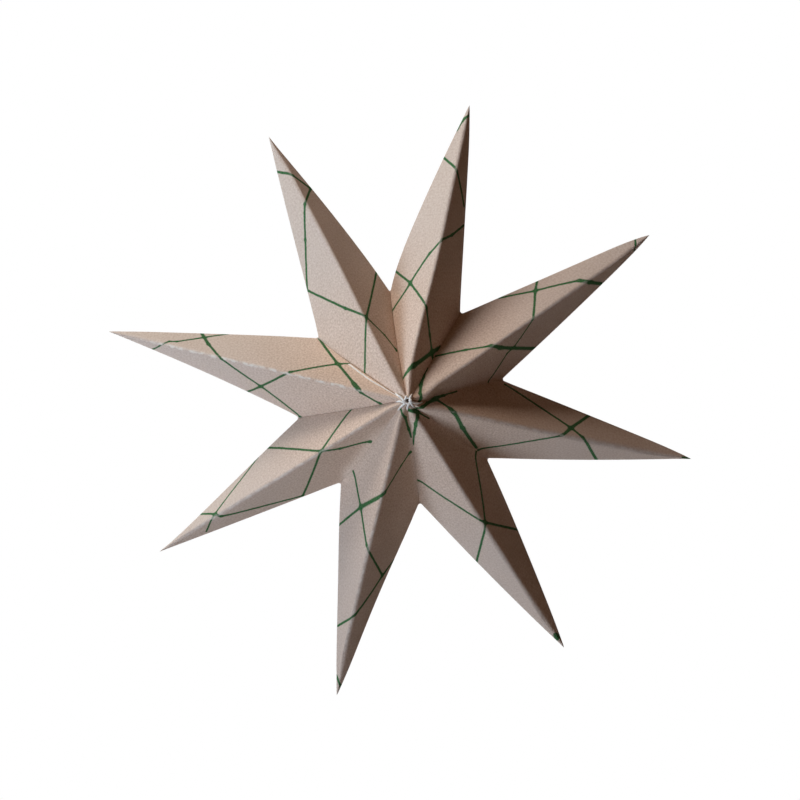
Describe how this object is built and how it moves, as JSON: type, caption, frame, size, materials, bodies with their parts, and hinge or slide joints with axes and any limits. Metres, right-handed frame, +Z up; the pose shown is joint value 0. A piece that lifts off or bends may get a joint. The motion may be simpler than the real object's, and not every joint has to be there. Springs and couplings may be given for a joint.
{
  "type": "paper star",
  "caption": "Folded paper star with long ridged points, alike in front and behind, tied with thread at its centre and drawn with thin green lines, made to hang by its top tip.",
  "frame": {"origin": "centre of the star, on its axis and halfway through its thickness", "axes": "+Z up through the top tip, +Y along the star's axis from its front to its back, +X to the right seen from the front"},
  "size_m": [0.3, 0.0738, 0.3015],
  "materials": {
    "paper": "soft handmade paper, matte, pinkish beige with thin green lines",
    "thread": "off-white cotton thread, matte"
  },
  "bodies": {
    "root": {"point_1": "paper", "point_2": "paper", "point_3": "paper", "point_4": "paper", "point_5": "paper", "point_6": "paper", "point_7": "paper", "point_8": "paper", "front_thread": "thread", "back_thread": "thread"}
  },
  "joints": []
}
